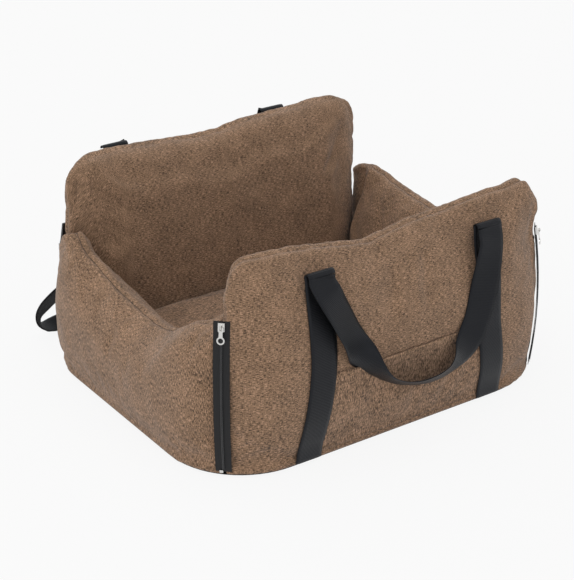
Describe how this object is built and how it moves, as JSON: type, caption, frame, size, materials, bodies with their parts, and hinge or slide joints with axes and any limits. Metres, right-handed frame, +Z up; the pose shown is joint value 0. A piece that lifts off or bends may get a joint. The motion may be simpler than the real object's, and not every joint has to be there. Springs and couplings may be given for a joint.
{
  "type": "dog car bed",
  "caption": "Padded dog car bed with bolster walls, a loose seat cushion, a front wall that unzips and folds down, webbing carry handles and a hook-on tether strap.",
  "frame": {"origin": "centre of the underside, on the surface it stands on", "axes": "+X to the right along the long walls, front wall towards -Y, +Z up"},
  "size_m": [0.6, 0.5908, 0.3065],
  "materials": {
    "woven_cover": "brown linen-look woven polyester, matt, slubbed",
    "wadding": "white polyester fibre filling",
    "webbing": "black ribbed nylon webbing, faint sheen",
    "zip_tape": "black woven polyester zip tape",
    "zip_coil": "black nylon zip coil",
    "zip_metal": "bright nickel-plated die-cast zinc",
    "fitting_metal": "bright nickel-plated steel and zinc",
    "underside_cloth": "dark cloth with fine non-slip dots",
    "board": "stiff plastic base board",
    "fold_seam": "brown corded seam"
  },
  "bodies": {
    "bed": {"base_underside": "underside_cloth", "base_board": "board", "base_liner": "woven_cover", "front_fold_seam": "fold_seam", "rear_wall_cover": "woven_cover", "rear_wall_fill": "wadding", "left_wall_cover": "woven_cover", "left_wall_fill": "wadding", "right_wall_cover": "woven_cover", "right_wall_fill": "wadding", "rear_left_strap": "webbing", "rear_right_strap": "webbing", "left_ring_tab": "webbing", "right_ring_tab": "webbing", "left_zip_side_tape": "zip_tape", "left_zip_side_coil": "zip_coil", "left_zip_stop": "zip_metal", "right_zip_side_tape": "zip_tape", "right_zip_side_coil": "zip_coil", "right_zip_stop": "zip_metal"},
    "front_wall": {"front_wall_cover": "woven_cover", "front_wall_fill": "wadding", "front_pocket": "woven_cover", "front_left_strap": "webbing", "front_right_strap": "webbing", "left_zip_front_tape": "zip_tape", "left_zip_front_coil": "zip_coil", "right_zip_front_tape": "zip_tape", "right_zip_front_coil": "zip_coil"},
    "front_handle": {"front_handle": "webbing"},
    "rear_handle": {"rear_handle": "webbing"},
    "seat_cushion": {"seat_cushion_cover": "woven_cover", "seat_cushion_fill": "wadding"},
    "left_slider": {"left_zip_slider": "zip_metal"},
    "right_slider": {"right_zip_slider": "zip_metal"},
    "left_puller": {"left_zip_puller": "zip_metal"},
    "right_puller": {"right_zip_puller": "zip_metal"},
    "tether": {"left_d_ring": "fitting_metal", "right_d_ring": "fitting_metal", "left_snap_hook": "fitting_metal", "right_snap_hook": "fitting_metal", "left_swivel_eye": "fitting_metal", "right_swivel_eye": "fitting_metal", "left_tether_end": "webbing", "right_tether_end": "webbing", "tether_strap": "webbing", "tether_adjuster": "fitting_metal"},
    "left_gate": {"left_hook_gate": "fitting_metal"},
    "right_gate": {"right_hook_gate": "fitting_metal"}
  },
  "joints": [
    {"name": "front_wall_fold", "type": "hinge", "parent": "bed", "child": "front_wall", "pos_m": [0, -0.244, 0.0043], "axis": [1, 0, 0], "range_deg": [0, 85]},
    {"name": "front_handle_swing", "type": "hinge", "parent": "front_wall", "child": "front_handle", "pos_m": [0, -0.24342, 0.266], "axis": [-1, 0, 0], "range_deg": [0, 160]},
    {"name": "rear_handle_swing", "type": "hinge", "parent": "bed", "child": "rear_handle", "pos_m": [0, 0.23802, 0.288], "axis": [1, 0, 0], "range_deg": [0, 160]},
    {"name": "seat_cushion_lift", "type": "slide", "parent": "bed", "child": "seat_cushion", "axis": [0, 0, 1], "range_m": [0, 0.3]},
    {"name": "left_zip_travel", "type": "hinge", "parent": "front_wall", "child": "left_slider", "pos_m": [0.24714, 0.29714, 0.1], "axis": [0.7071, -0.7071, 0], "range_deg": [0, 14.2]},
    {"name": "right_zip_travel", "type": "hinge", "parent": "front_wall", "child": "right_slider", "pos_m": [-0.24714, 0.29714, 0.1], "axis": [0.7071, 0.7071, 0], "range_deg": [0, 14.2]},
    {"name": "left_puller_swing", "type": "hinge", "parent": "left_slider", "child": "left_puller", "pos_m": [-0.26089, -0.21089, 0.2159], "axis": [-0.7071, 0.7071, 0], "range_deg": [0, 150]},
    {"name": "right_puller_swing", "type": "hinge", "parent": "right_slider", "child": "right_puller", "pos_m": [0.26089, -0.21089, 0.2159], "axis": [-0.7071, -0.7071, 0], "range_deg": [0, 150]},
    {"name": "tether_swing", "type": "hinge", "parent": "bed", "child": "tether", "pos_m": [0, 0.248, 0.155], "axis": [1, 0, 0], "range_deg": [0, 70]},
    {"name": "left_gate_press", "type": "hinge", "parent": "tether", "child": "left_gate", "pos_m": [-0.228, 0.2434, 0.1292], "axis": [-1, 0, 0], "range_deg": [0, 22], "stiffness_Nm_per_rad": 0.02, "springref_deg": -8.59},
    {"name": "right_gate_press", "type": "hinge", "parent": "tether", "child": "right_gate", "pos_m": [0.228, 0.2434, 0.1292], "axis": [-1, 0, 0], "range_deg": [0, 22], "stiffness_Nm_per_rad": 0.02, "springref_deg": -8.59}
  ]
}
